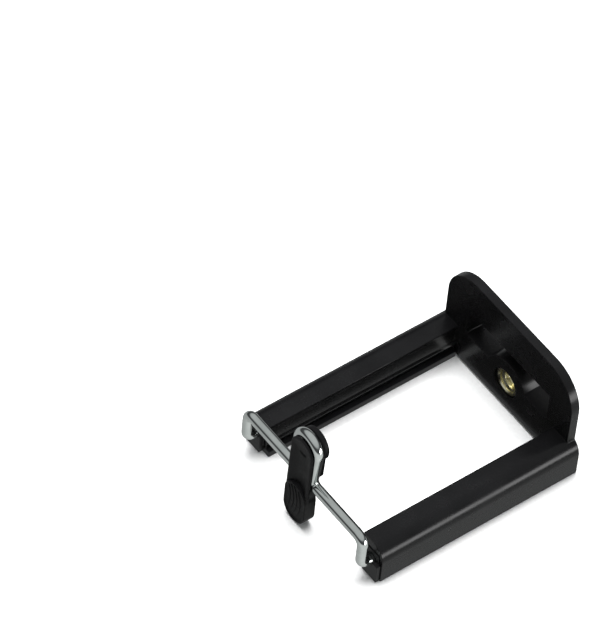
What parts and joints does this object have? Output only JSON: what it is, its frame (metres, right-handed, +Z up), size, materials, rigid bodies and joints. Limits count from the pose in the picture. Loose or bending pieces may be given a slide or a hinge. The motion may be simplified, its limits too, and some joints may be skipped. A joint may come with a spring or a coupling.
{
  "type": "phone holder clamp",
  "caption": "Spring-loaded phone clamp: moulded U frame with back plate and brass tripod insert, sliding bent-wire clip with a ribbed thumb pad.",
  "frame": {"origin": "centre of the bounding box in plan, on the surface that the rails rest on", "axes": "+Z up, +Y along the rails from the wire clip towards the back plate, X across the rails"},
  "size_m": [0.0568, 0.0746, 0.0337],
  "materials": {
    "glossy_plastic": "glossy moulded ABS",
    "cover_plastic": "glossy moulded ABS",
    "guide_plastic": "moulded acetal",
    "pad_plastic": "satin moulded ABS",
    "brass": "turned brass",
    "chrome_wire": "chrome-plated spring wire",
    "spring_steel": "bright spring wire",
    "washer_steel": "zinc-plated steel",
    "retainer_steel": "spring steel",
    "screw_steel": "nickel-plated steel"
  },
  "bodies": {
    "frame_body": {"frame": "glossy_plastic", "tripod_insert": "brass", "rail_cover_left": "cover_plastic", "rail_cover_right": "cover_plastic", "cover_screws": "screw_steel", "end_guide_left": "guide_plastic", "end_guide_right": "guide_plastic", "spring_left": "spring_steel", "spring_right": "spring_steel"},
    "clip_body": {"wire_clip": "chrome_wire", "washer_left": "washer_steel", "washer_right": "washer_steel", "retainer_left": "retainer_steel", "retainer_right": "retainer_steel", "pad_front": "pad_plastic", "pad_rear": "pad_plastic", "pad_screw": "screw_steel"}
  },
  "joints": [
    {"name": "clip_slide", "type": "slide", "parent": "frame_body", "child": "clip_body", "axis": [0, -1, 0], "range_m": [0, 0.027], "stiffness_N_per_m": 180, "springref_m": -0.012, "deforming": ["spring_left", "spring_right"]}
  ]
}
